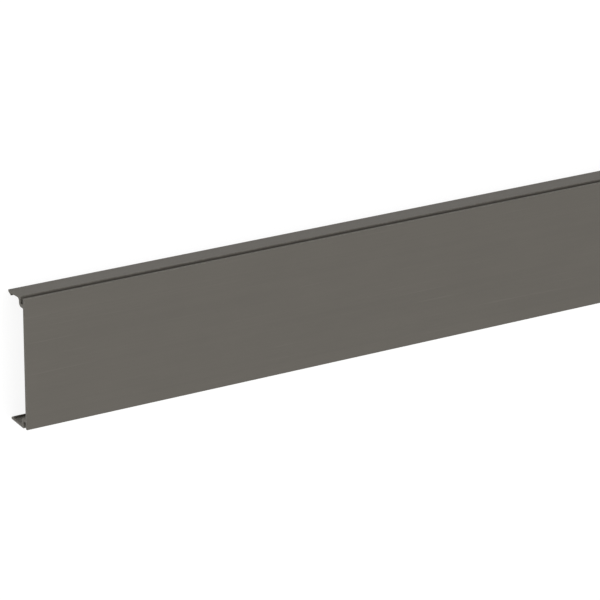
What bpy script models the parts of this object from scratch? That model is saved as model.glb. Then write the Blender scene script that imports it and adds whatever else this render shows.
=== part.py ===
"""Clip-on cover of a cable raceway: one extruded length of rigid plastic.

The cover lies on its two leg tips with its front face up. X runs along the extrusion, Y across it and
Z up. The origin is on the floor, under the middle of the length and of the width.
"""

import math

import bmesh
import bpy

MM = 0.001

# Driving dimensions, in millimetres
LENGTH = 2000.0
OVERALL_WIDTH = 80.0
OVERALL_DEPTH = 19.4
PLATE_THICKNESS = 1.75
PLATE_EDGE_ROUND = 0.5
ROOT_OVERHANG = 0.55
GROOVE_WIDTH = 2.65
GROOVE_DEPTH = 4.0
GROOVE_CORNER_ROUND = 0.25
WALL_THICKNESS = 2.1
WALL_CORNER_ROUND = 0.5
ARM_THICKNESS = 2.05
ARM_CORNER_ROUND = 2.4
ARM_FOOT_FILLET = 0.5
LEG_THICKNESS = 1.6
LEG_ROOT_FILLET = 1.8
TIP_INSET = 0.2
TIP_THICKNESS = 1.1
BARB_SETBACK = 3.3
BARB_HEIGHT = 1.4
EDGE_ROUND = 0.2
LONGEST_FACET = 0.3
WIDEST_FACET_ANGLE = math.radians(22.5)
SHARP_EDGE_ANGLE = math.radians(30)

# Colour, roughness and metallic value of the plastic
COVER_COLOUR = (0.138, 0.127, 0.112, 1.0)
COVER_ROUGHNESS = 0.45
COVER_METALLIC = 0.0

# Worked out from the driving dimensions
PLATE_HALF_WIDTH = OVERALL_WIDTH / 2 - ROOT_OVERHANG
WALL_FRONT = PLATE_THICKNESS + GROOVE_WIDTH
WALL_BACK = WALL_FRONT + WALL_THICKNESS
ARM_INNER = GROOVE_DEPTH + ARM_THICKNESS
LEG_LENGTH = OVERALL_DEPTH - WALL_FRONT
LEG_LEAN = (TIP_INSET + ROOT_OVERHANG) / LEG_LENGTH
BARB_DEPTH = OVERALL_DEPTH - BARB_SETBACK


def leg_outer(depth):
    """How far in from the plate's edge the leg's outer face lies at a depth behind the front face."""
    return (depth - WALL_FRONT) * LEG_LEAN - ROOT_OVERHANG


def leg_inner(depth):
    """The same for the leg's inner face, measured square to the lean."""
    return leg_outer(depth) + LEG_THICKNESS * math.hypot(1.0, LEG_LEAN)


def half_corners():
    """Corners of the section's right half as (distance in from the plate's edge, depth, radius).

    They run from the front face round the edge, the groove and the leg to the plate's back.
    """
    return [
        (0.0, 0.0, EDGE_ROUND),
        (0.0, PLATE_THICKNESS, PLATE_EDGE_ROUND),
        (GROOVE_DEPTH, PLATE_THICKNESS, GROOVE_CORNER_ROUND),
        (GROOVE_DEPTH, WALL_FRONT, GROOVE_CORNER_ROUND),
        (leg_outer(WALL_FRONT), WALL_FRONT, WALL_CORNER_ROUND),
        (leg_outer(OVERALL_DEPTH), OVERALL_DEPTH, EDGE_ROUND),
        (leg_outer(OVERALL_DEPTH) + TIP_THICKNESS, OVERALL_DEPTH, EDGE_ROUND),
        (leg_inner(BARB_DEPTH) + BARB_HEIGHT, BARB_DEPTH, EDGE_ROUND),
        (leg_inner(BARB_DEPTH), BARB_DEPTH, EDGE_ROUND),
        (leg_inner(WALL_BACK), WALL_BACK, LEG_ROOT_FILLET),
        (ARM_INNER, WALL_BACK, ARM_CORNER_ROUND),
        (ARM_INNER, PLATE_THICKNESS, ARM_FOOT_FILLET),
    ]


def rounded_corner(before, corner, after):
    """Points along the arc that rounds one corner of an outline."""
    x, y, radius = corner
    to_before = (before[0] - x, before[1] - y)
    to_after = (after[0] - x, after[1] - y)
    length_before = math.hypot(*to_before)
    length_after = math.hypot(*to_after)
    u = (to_before[0] / length_before, to_before[1] / length_before)
    v = (to_after[0] / length_after, to_after[1] / length_after)
    half_angle = math.acos(u[0] * v[0] + u[1] * v[1]) / 2
    setback = radius / math.tan(half_angle)
    reach = radius / math.sin(half_angle)
    bisector = (u[0] + v[0], u[1] + v[1])
    scale = reach / math.hypot(*bisector)
    centre = (x + bisector[0] * scale, y + bisector[1] * scale)
    start = (x + u[0] * setback, y + u[1] * setback)
    start_angle = math.atan2(start[1] - centre[1], start[0] - centre[0])
    turn = math.pi - 2 * half_angle
    if u[0] * v[1] - u[1] * v[0] > 0:
        turn = -turn
    steps = math.ceil(max(abs(turn) / WIDEST_FACET_ANGLE, radius * abs(turn) / LONGEST_FACET))
    angles = [start_angle + turn * step / steps for step in range(steps + 1)]
    return [(centre[0] + radius * math.cos(a), centre[1] + radius * math.sin(a)) for a in angles]


def section_outline():
    """The whole closed section as (y, z) points in millimetres, the right half and its mirror image."""
    front_middle = (PLATE_HALF_WIDTH, 0.0)
    back_middle = (PLATE_HALF_WIDTH, PLATE_THICKNESS)
    corners = half_corners()
    befores = [front_middle] + corners[:-1]
    afters = corners[1:] + [back_middle]
    half = []
    for before, corner, after in zip(befores, corners, afters):
        half.extend(rounded_corner(before, corner, after))
    right = [(PLATE_HALF_WIDTH - inward, OVERALL_DEPTH - depth) for inward, depth in half]
    left = [(-y, z) for y, z in reversed(right)]
    return right + left


def plastic():
    """Dark warm grey, softly glossy plastic."""
    material = bpy.data.materials.new("cover_plastic")
    material.use_nodes = True
    shader = material.node_tree.nodes["Principled BSDF"]
    shader.inputs["Base Color"].default_value = COVER_COLOUR
    shader.inputs["Roughness"].default_value = COVER_ROUGHNESS
    shader.inputs["Metallic"].default_value = COVER_METALLIC
    return material


def raceway_cover():
    """The section, extruded along X and cut off square at both ends."""
    builder = bmesh.new()
    start = -LENGTH / 2
    ring = [builder.verts.new((start * MM, y * MM, z * MM)) for y, z in section_outline()]
    cut_end = builder.faces.new(ring)
    extruded = bmesh.ops.extrude_face_region(builder, geom=[cut_end], use_keep_orig=True)
    moved = [item for item in extruded["geom"] if isinstance(item, bmesh.types.BMVert)]
    bmesh.ops.translate(builder, vec=(LENGTH * MM, 0.0, 0.0), verts=moved)
    bmesh.ops.recalc_face_normals(builder, faces=builder.faces)
    mesh = bpy.data.meshes.new("raceway_cover")
    builder.to_mesh(mesh)
    builder.free()
    mesh.shade_smooth()
    mesh.set_sharp_from_angle(angle=SHARP_EDGE_ANGLE)
    mesh.materials.append(plastic())
    cover = bpy.data.objects.new("raceway_cover", mesh)
    bpy.context.scene.collection.objects.link(cover)


for existing in list(bpy.data.objects):
    bpy.data.objects.remove(existing, do_unlink=True)

raceway_cover()
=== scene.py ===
"""The look of a clip-on raceway cover: sawn extruded plastic on a pale floor in soft studio light."""

import math

import bmesh
import bpy
from mathutils import Matrix, Vector, noise


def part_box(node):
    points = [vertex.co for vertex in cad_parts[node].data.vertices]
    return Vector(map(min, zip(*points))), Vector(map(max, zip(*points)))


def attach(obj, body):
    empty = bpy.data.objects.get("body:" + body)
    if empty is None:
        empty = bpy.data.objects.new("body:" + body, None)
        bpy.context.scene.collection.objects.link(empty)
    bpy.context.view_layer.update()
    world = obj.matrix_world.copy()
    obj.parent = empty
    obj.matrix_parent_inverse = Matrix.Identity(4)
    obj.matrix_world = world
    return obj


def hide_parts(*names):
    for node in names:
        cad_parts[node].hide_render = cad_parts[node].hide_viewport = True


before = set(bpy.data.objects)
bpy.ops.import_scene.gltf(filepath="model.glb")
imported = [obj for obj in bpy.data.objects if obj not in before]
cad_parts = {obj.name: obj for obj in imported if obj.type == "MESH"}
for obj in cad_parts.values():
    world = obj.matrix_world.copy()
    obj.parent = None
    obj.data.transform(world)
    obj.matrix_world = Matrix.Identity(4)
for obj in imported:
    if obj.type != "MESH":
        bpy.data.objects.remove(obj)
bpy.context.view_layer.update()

NODE = "raceway_cover"
LOW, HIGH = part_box(NODE)
MM = 0.001

# The camera, as it stands to a cover set upright on its long edge: the photograph shows it so.
# Angles are in degrees and the distance in metres, from the left lower corner of the front face.
FOCAL_LENGTH_MM = 217.9
SENSOR_WIDTH_MM = 36.0
CAMERA_TURN = 31.379
CAMERA_DIP = 20.769
CAMERA_ROLL = 0.2605
CAMERA_DISTANCE = 2.0457
CORNER_PIXEL = (27.227, 430.463)
IMAGE_SIDE_PX = 600.0
NEAREST_SEEN = 0.05
FURTHEST_SEEN = 200.0
FRONT_BAND = 0.5 * MM

# The finished mesh
MERGE_DISTANCE = 0.001 * MM
FLAT_ANGLE = math.radians(0.5)
RING_SPACING = 25 * MM
SAWN_EDGE_ROUND = 0.1 * MM
SAWN_EDGE_STEPS = 3
SAWN_SLOT = 1
WEAR_REACH = 0.35 * MM
SHORTEST_PLAIN_FACE = 3 * WEAR_REACH
SHARP_ANGLE = math.radians(40)

# How far the extrusion strays from true, always towards the inside of the stated size.
# The zones are shares of the depth, and for the legs' place a share of the half width.
WAVE_LENGTH = 0.3
PLATE_WAVE = 0.03 * MM
PLATE_ZONE = 0.125
PLATE_ROW = 3.1
LEG_WAVE = 0.06 * MM
LEG_START = 0.25
LEG_PLACE = 0.85
LEG_ROW = 7.7

# Colours and sheen of the plastic
SKIN_DARK = (0.124, 0.1155, 0.101, 1.0)
SKIN_LIGHT = (0.136, 0.1265, 0.1105, 1.0)
WORN_COLOUR = (0.178, 0.167, 0.148, 1.0)
SAWN_DARK = (0.112, 0.105, 0.092, 1.0)
SAWN_LIGHT = (0.150, 0.142, 0.126, 1.0)
SKIN_ROUGHNESS = (0.5, 0.62)
SAWN_ROUGHNESS = (0.6, 0.8)
SPECULAR_LEVEL = 0.12

# Layers of ever finer detail in a pattern, and the strength of each against the one before
FEW_LAYERS = 2.0
SOME_LAYERS = 3.0
MANY_LAYERS = 4.0
WEAK_LAYERS = 0.4
USUAL_LAYERS = 0.5
STRONG_LAYERS = 0.6

# Patterns of the skin: features a metre along X, Y and Z, depth, and share in the colour and gloss
DIE_LINES = (0.6, 1400.0, 1400.0)
DIE_LINE_DEPTH = 0.06 * MM
DIE_LINE_SHARE = 0.25
FLOW_BANDS = (1.2, 180.0, 180.0)
FLOW_BAND_DEPTH = 0.08 * MM
FLOW_BAND_SHARE = 0.2
GRAIN = (2600.0, 3400.0, 3400.0)
GRAIN_DEPTH = 0.04 * MM
GRAIN_SHARE = 0.25
MOTTLE = (28.0, 60.0, 60.0)
MOTTLE_SHARE = 0.3
PATTERN_SPAN = (0.38, 0.62)

# Light scuffs along the skin, and worn edges
SCUFFS = (16.0, 900.0, 900.0)
SCUFF_TURN = math.radians(1.5)
SCUFF_SPAN = (0.66, 0.8)
SCUFF_FADING = 0.3
SCUFF_DULLING = 0.08
EDGE_NICKS = (700.0, 900.0, 900.0)
EDGE_NICK_SPAN = (0.42, 0.62)
EDGE_FADING = 0.7

# Patterns of the sawn faces
BLADE_CENTRE = (0.0, 0.035, -0.14)
TOOTH_MARKS = 2600.0
TOOTH_MARK_DEPTH = 0.03 * MM
TOOTH_MARK_SHARE = 0.6
SAWN_GRAIN = (3000.0, 3000.0, 3000.0)
SAWN_GRAIN_DEPTH = 0.02 * MM
SAWN_GRAIN_SHARE = 0.4
SAWN_SPAN = (0.3, 0.7)

# Surroundings
FLOOR_HALF_SIZE = 40.0
FLOOR_COLOUR = (0.16, 0.16, 0.16, 1.0)
FLOOR_ROUGHNESS = 0.9
FLOOR_SPECULAR_LEVEL = 0.1
FLOOR_GLOW = 0.89
WHITE = (1.0, 1.0, 1.0, 1.0)
SKY_STRENGTH = 0.16
SOFTBOX_STRENGTH = 2.46
SOFTBOX_DIRECTION = (0.22, -0.03, 0.975)
SOFTBOX_FOCUS = 4.0
STRIP_LENGTH = 0.8
STRIP_HEIGHT = 0.16
LEG_LIGHT_PLACE = (-1.12, 0.24, 0.06)
LEG_LIGHT_POWER = 0.16
END_LIGHT_PLACE = (-1.7, -0.5, 0.1)
END_LIGHT_POWER = 2.6


def photograph_camera():
    """The photograph's camera, turned with the cover as it is laid on its back."""
    turn = math.radians(CAMERA_TURN)
    dip = math.radians(CAMERA_DIP)
    roll = math.radians(CAMERA_ROLL)
    look = Vector((math.cos(dip) * math.sin(turn), math.cos(dip) * math.cos(turn), -math.sin(dip)))
    level_right = Vector((math.cos(turn), -math.sin(turn), 0.0))
    level_up = level_right.cross(look)
    right = math.cos(roll) * level_right + math.sin(roll) * level_up
    up = math.cos(roll) * level_up - math.sin(roll) * level_right
    focal_px = FOCAL_LENGTH_MM / SENSOR_WIDTH_MM * IMAGE_SIDE_PX
    across = (CORNER_PIXEL[0] - IMAGE_SIDE_PX / 2) / focal_px
    down = (CORNER_PIXEL[1] - IMAGE_SIDE_PX / 2) / focal_px
    from_corner = -CAMERA_DISTANCE * (look + right * across - up * down)

    lay_down = Matrix.Rotation(math.radians(-90.0), 3, "X")
    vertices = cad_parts[NODE].data.vertices
    front_edge = min(vertex.co.y for vertex in vertices if vertex.co.z > HIGH.z - FRONT_BAND)
    corner = Vector((LOW.x, front_edge, HIGH.z))
    axes = Matrix((lay_down @ right, lay_down @ up, -(lay_down @ look))).transposed()
    data = bpy.data.cameras.new("photograph_camera")
    data.sensor_width = SENSOR_WIDTH_MM
    data.lens = FOCAL_LENGTH_MM
    data.clip_start = NEAREST_SEEN
    data.clip_end = FURTHEST_SEEN
    camera = bpy.data.objects.new("photograph_camera", data)
    camera.matrix_world = Matrix.Translation(corner + lay_down @ from_corner) @ axes.to_4x4()
    bpy.context.scene.collection.objects.link(camera)
    bpy.context.scene.camera = camera


def cad_section():
    """The section's corners as (y, z) vectors, read from the frame, anticlockwise seen from +X."""
    shape = bmesh.new()
    shape.from_mesh(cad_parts[NODE].data)
    bmesh.ops.remove_doubles(shape, verts=shape.verts, dist=MERGE_DISTANCE)
    bmesh.ops.dissolve_limit(shape, angle_limit=FLAT_ANGLE, verts=shape.verts, edges=shape.edges)
    end = max(shape.faces, key=lambda face: face.calc_center_median().x)
    section = [Vector((vertex.co.y, vertex.co.z)) for vertex in end.verts]
    if end.normal.x < 0:
        section.reverse()
    shape.free()
    return section


def worn_section():
    """The section with its wear, from 0 on flat faces to 1 on outer edges, as (point, wear) pairs."""
    section = cad_section()
    worn = []
    for before, here, after in zip(section[-1:] + section[:-1], section, section[1:] + section[:1]):
        arriving = here - before
        leaving = after - here
        turns_outward = arriving.cross(leaving) > 0
        worn.append((here, 1.0 if turns_outward else 0.0))
        if leaving.length > SHORTEST_PLAIN_FACE:
            step = leaving.normalized() * WEAR_REACH
            worn.append((here + step, 0.0))
            worn.append((after - step, 0.0))
    return worn


def inset_section(section, distance):
    """The section's points moved square to its outline, into the material."""
    moved = []
    for before, here, after in zip(section[-1:] + section[:-1], section, section[1:] + section[:1]):
        arriving = (here - before).normalized()
        leaving = (after - here).normalized()
        inward = Vector((-arriving.y, arriving.x)) + Vector((-leaving.y, leaving.x))
        moved.append(here + inward * distance / (1 + arriving.dot(leaving)))
    return moved


def wave(x, row):
    """Smooth noise from 0 to 1 along the extrusion, different in each row."""
    return (1 + noise.noise(Vector((x / WAVE_LENGTH, row, 0.0)))) / 2


def stray(x, point):
    """Where a point of the section really lies at a place along the extrusion."""
    side = math.copysign(1.0, point.x)
    depth_share = 1 - point.y / HIGH.z
    plate_share = max(0.0, 1 - depth_share / PLATE_ZONE)
    leg_share = 0.0
    if abs(point.x) > LEG_PLACE * HIGH.y:
        leg_share = max(0.0, (depth_share - LEG_START) / (1 - LEG_START))
    down = PLATE_WAVE * plate_share * wave(x, PLATE_ROW)
    inward = LEG_WAVE * leg_share * wave(x, LEG_ROW * side)
    return Vector((x, point.x - side * inward, point.y - down))


def ring_places():
    """Where the finished mesh has its rings, as (x, inset) pairs from one sawn end to the other."""
    quarter = [math.pi / 2 * step / SAWN_EDGE_STEPS for step in range(SAWN_EDGE_STEPS + 1)]
    edge = [(SAWN_EDGE_ROUND * (1 - math.cos(a)), SAWN_EDGE_ROUND * (1 - math.sin(a))) for a in quarter]
    start = [(LOW.x + along, inset) for along, inset in edge]
    end = [(HIGH.x - along, inset) for along, inset in reversed(edge)]
    spans = round((HIGH.x - LOW.x) / RING_SPACING)
    between = [(LOW.x + (HIGH.x - LOW.x) * span / spans, 0.0) for span in range(1, spans)]
    return start + between + end


def finished_mesh():
    """The extrusion with rounded sawn edges: skin faces in slot 0 and the two sawn faces in slot 1."""
    worn = worn_section()
    section = [point for point, wear in worn]
    wears = [wear for point, wear in worn]
    shape = bmesh.new()
    wear_layer = shape.verts.layers.float.new("wear")
    rings = []
    for x, inset in ring_places():
        ring = []
        for point, wear in zip(inset_section(section, inset), wears):
            vertex = shape.verts.new(stray(x, point))
            vertex[wear_layer] = 1.0 if inset > 0 else wear
            ring.append(vertex)
        rings.append(ring)
    for ring, further in zip(rings, rings[1:]):
        for index in range(len(ring)):
            following = (index + 1) % len(ring)
            face = shape.faces.new((ring[index], ring[following], further[following], further[index]))
            face.smooth = True
    for ring in (list(reversed(rings[0])), rings[-1]):
        face = shape.faces.new(ring)
        face.material_index = SAWN_SLOT
    mesh = bpy.data.meshes.new("finished_cover")
    shape.to_mesh(mesh)
    shape.free()
    mesh.set_sharp_from_angle(angle=SHARP_ANGLE)
    return mesh


class Surface:
    """A material under construction: adds nodes and links their sockets."""

    def __init__(self, name):
        self.material = bpy.data.materials.new(name)
        self.material.use_nodes = True
        self.tree = self.material.node_tree
        self.shader = self.tree.nodes["Principled BSDF"]
        self.place = self.tree.nodes.new("ShaderNodeTexCoord").outputs["Object"]

    def set(self, socket, value):
        """Gives a socket a link from another node's output, or a plain value."""
        if isinstance(value, bpy.types.NodeSocket):
            self.tree.links.new(value, socket)
        else:
            socket.default_value = value

    def shade(self, name, value):
        """Sets one of the shader's own sockets."""
        self.set(self.shader.inputs[name], value)

    def stretched(self, scale, turn=0.0):
        """The object's coordinates, turned about Z and scaled to so many features a metre."""
        node = self.tree.nodes.new("ShaderNodeMapping")
        node.vector_type = "POINT"
        self.set(node.inputs["Vector"], self.place)
        node.inputs["Rotation"].default_value = (0.0, 0.0, turn)
        node.inputs["Scale"].default_value = scale
        return node.outputs["Vector"]

    def noise(self, scale, detail=SOME_LAYERS, roughness=USUAL_LAYERS, turn=0.0):
        """Noise of so many features a metre on each axis, from 0 to 1."""
        node = self.tree.nodes.new("ShaderNodeTexNoise")
        self.set(node.inputs["Vector"], self.stretched(scale, turn))
        node.inputs["Scale"].default_value = 1.0
        node.inputs["Detail"].default_value = detail
        node.inputs["Roughness"].default_value = roughness
        return node.outputs["Fac"]

    def arcs(self, centre, scale, detail=SOME_LAYERS):
        """Noise in rings round an axis along X, so many rings a metre, from 0 to 1."""
        distance = self.tree.nodes.new("ShaderNodeVectorMath")
        distance.operation = "DISTANCE"
        self.set(distance.inputs[0], self.stretched((0.0, 1.0, 1.0)))
        distance.inputs[1].default_value = centre
        node = self.tree.nodes.new("ShaderNodeTexNoise")
        node.noise_dimensions = "1D"
        self.set(node.inputs["W"], distance.outputs["Value"])
        node.inputs["Scale"].default_value = scale
        node.inputs["Detail"].default_value = detail
        return node.outputs["Fac"]

    def math(self, operation, first, second, clamp=False):
        """One sum on two values or outputs."""
        node = self.tree.nodes.new("ShaderNodeMath")
        node.operation = operation
        node.use_clamp = clamp
        self.set(node.inputs[0], first)
        self.set(node.inputs[1], second)
        return node.outputs[0]

    def weighted(self, *shares):
        """The sum of several outputs, each times its own share."""
        products = [self.math("MULTIPLY", value, share) for value, share in shares]
        total = products[0]
        for product in products[1:]:
            total = self.math("ADD", total, product)
        return total

    def span(self, value, start, end=(0.0, 1.0)):
        """A value's range from start's low to its high, spread over another range and held there."""
        node = self.tree.nodes.new("ShaderNodeMapRange")
        self.set(node.inputs["Value"], value)
        node.inputs["From Min"].default_value = start[0]
        node.inputs["From Max"].default_value = start[1]
        node.inputs["To Min"].default_value = end[0]
        node.inputs["To Max"].default_value = end[1]
        return node.outputs["Result"]

    def blend(self, share, first, second):
        """Two colours mixed by a share."""
        node = self.tree.nodes.new("ShaderNodeMix")
        node.data_type = "RGBA"
        self.set(node.inputs["Factor"], share)
        self.set(node.inputs["A"], first)
        self.set(node.inputs["B"], second)
        return node.outputs["Result"]

    def bump(self, height, distance, normal=None):
        """Relief of a height from 0 to 1, so many metres deep, over another relief."""
        node = self.tree.nodes.new("ShaderNodeBump")
        self.set(node.inputs["Height"], height)
        node.inputs["Distance"].default_value = distance
        if normal is not None:
            self.set(node.inputs["Normal"], normal)
        return node.outputs["Normal"]

    def wear(self):
        """The mesh's own wear values."""
        node = self.tree.nodes.new("ShaderNodeAttribute")
        node.attribute_name = "wear"
        return node.outputs["Fac"]


def extruded_skin():
    """Warm grey plastic with lines along it, a satin grain, worn edges and light scuffs."""
    surface = Surface("extruded_skin")
    die_lines = surface.noise(DIE_LINES, detail=MANY_LAYERS, roughness=STRONG_LAYERS)
    flow_bands = surface.noise(FLOW_BANDS, detail=FEW_LAYERS)
    grain = surface.noise(GRAIN, detail=FEW_LAYERS)
    mottle = surface.noise(MOTTLE, detail=MANY_LAYERS, roughness=STRONG_LAYERS)
    pattern = surface.weighted(
        (die_lines, DIE_LINE_SHARE),
        (flow_bands, FLOW_BAND_SHARE),
        (grain, GRAIN_SHARE),
        (mottle, MOTTLE_SHARE),
    )
    scuffs = surface.noise(SCUFFS, detail=FEW_LAYERS, roughness=WEAK_LAYERS, turn=SCUFF_TURN)
    scuffed = surface.span(scuffs, SCUFF_SPAN)
    nicked = surface.span(surface.noise(EDGE_NICKS), EDGE_NICK_SPAN)
    worn = surface.math("MULTIPLY", surface.wear(), nicked, clamp=True)

    colour = surface.blend(surface.span(pattern, PATTERN_SPAN), SKIN_DARK, SKIN_LIGHT)
    faded = surface.weighted((scuffed, SCUFF_FADING), (worn, EDGE_FADING))
    surface.shade("Base Color", surface.blend(faded, colour, WORN_COLOUR))
    dulled = surface.math("MULTIPLY", scuffed, SCUFF_DULLING)
    rough = surface.span(pattern, PATTERN_SPAN, SKIN_ROUGHNESS)
    surface.shade("Roughness", surface.math("ADD", rough, dulled))
    surface.shade("Specular IOR Level", SPECULAR_LEVEL)
    relief = surface.bump(flow_bands, FLOW_BAND_DEPTH)
    relief = surface.bump(die_lines, DIE_LINE_DEPTH, relief)
    relief = surface.bump(grain, GRAIN_DEPTH, relief)
    surface.shade("Normal", relief)
    return surface.material


def sawn_face():
    """The cut ends: the blade's arcs across a duller and slightly paler face."""
    surface = Surface("sawn_face")
    tooth_marks = surface.arcs(BLADE_CENTRE, TOOTH_MARKS)
    grain = surface.noise(SAWN_GRAIN, roughness=STRONG_LAYERS)
    pattern = surface.weighted((tooth_marks, TOOTH_MARK_SHARE), (grain, SAWN_GRAIN_SHARE))
    surface.shade("Base Color", surface.blend(surface.span(pattern, SAWN_SPAN), SAWN_DARK, SAWN_LIGHT))
    surface.shade("Roughness", surface.span(grain, SAWN_SPAN, SAWN_ROUGHNESS))
    surface.shade("Specular IOR Level", SPECULAR_LEVEL)
    relief = surface.bump(tooth_marks, TOOTH_MARK_DEPTH)
    relief = surface.bump(grain, SAWN_GRAIN_DEPTH, relief)
    surface.shade("Normal", relief)
    return surface.material


def finished_cover():
    """The cover as it is seen, in place of the CAD solid."""
    mesh = finished_mesh()
    mesh.materials.append(extruded_skin())
    mesh.materials.append(sawn_face())
    cover = bpy.data.objects.new("finished_cover", mesh)
    bpy.context.scene.collection.objects.link(cover)
    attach(cover, "root")
    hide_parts(NODE)


def floor():
    """A very large, plain, pale floor that glows evenly, as a light table does."""
    half = FLOOR_HALF_SIZE
    corners = [(-half, -half, 0.0), (half, -half, 0.0), (half, half, 0.0), (-half, half, 0.0)]
    mesh = bpy.data.meshes.new("floor")
    mesh.from_pydata(corners, [], [(0, 1, 2, 3)])
    surface = Surface("floor")
    surface.shade("Base Color", FLOOR_COLOUR)
    surface.shade("Roughness", FLOOR_ROUGHNESS)
    surface.shade("Specular IOR Level", FLOOR_SPECULAR_LEVEL)
    surface.shade("Emission Color", WHITE)
    surface.shade("Emission Strength", FLOOR_GLOW)
    mesh.materials.append(surface.material)
    plane = bpy.data.objects.new("floor", mesh)
    bpy.context.scene.collection.objects.link(plane)


def studio_light():
    """White surroundings that brighten smoothly towards one very large soft light overhead."""
    world = bpy.data.worlds.new("studio")
    world.use_nodes = True
    tree = world.node_tree
    direction = tree.nodes.new("ShaderNodeTexCoord")
    towards = tree.nodes.new("ShaderNodeVectorMath")
    towards.operation = "DOT_PRODUCT"
    towards.inputs[1].default_value = SOFTBOX_DIRECTION
    tree.links.new(direction.outputs["Generated"], towards.inputs[0])
    facing = tree.nodes.new("ShaderNodeMath")
    facing.operation = "MAXIMUM"
    facing.inputs[1].default_value = 0.0
    tree.links.new(towards.outputs["Value"], facing.inputs[0])
    falloff = tree.nodes.new("ShaderNodeMath")
    falloff.operation = "POWER"
    falloff.inputs[1].default_value = SOFTBOX_FOCUS
    tree.links.new(facing.outputs[0], falloff.inputs[0])
    strength = tree.nodes.new("ShaderNodeMath")
    strength.operation = "MULTIPLY_ADD"
    strength.inputs[1].default_value = SOFTBOX_STRENGTH
    strength.inputs[2].default_value = SKY_STRENGTH
    tree.links.new(falloff.outputs[0], strength.inputs[0])
    background = tree.nodes["Background"]
    background.inputs["Color"].default_value = WHITE
    tree.links.new(strength.outputs[0], background.inputs["Strength"])
    bpy.context.scene.world = world


def low_strip(name, place, power):
    """A long, low, soft light that stands on the floor and faces the cover's cut end."""
    data = bpy.data.lights.new(name, "AREA")
    data.shape = "RECTANGLE"
    data.size = STRIP_LENGTH
    data.size_y = STRIP_HEIGHT
    data.energy = power
    light = bpy.data.objects.new(name, data)
    light.location = place
    from_end = Vector(place) - Vector((LOW.x, 0.0, 0.0))
    light.rotation_euler = from_end.to_track_quat("Z", "Y").to_euler()
    light.visible_camera = False
    bpy.context.scene.collection.objects.link(light)


photograph_camera()
finished_cover()
floor()
studio_light()
low_strip("leg_light", LEG_LIGHT_PLACE, LEG_LIGHT_POWER)
low_strip("end_light", END_LIGHT_PLACE, END_LIGHT_POWER)
bpy.context.scene.view_settings.view_transform = "Standard"
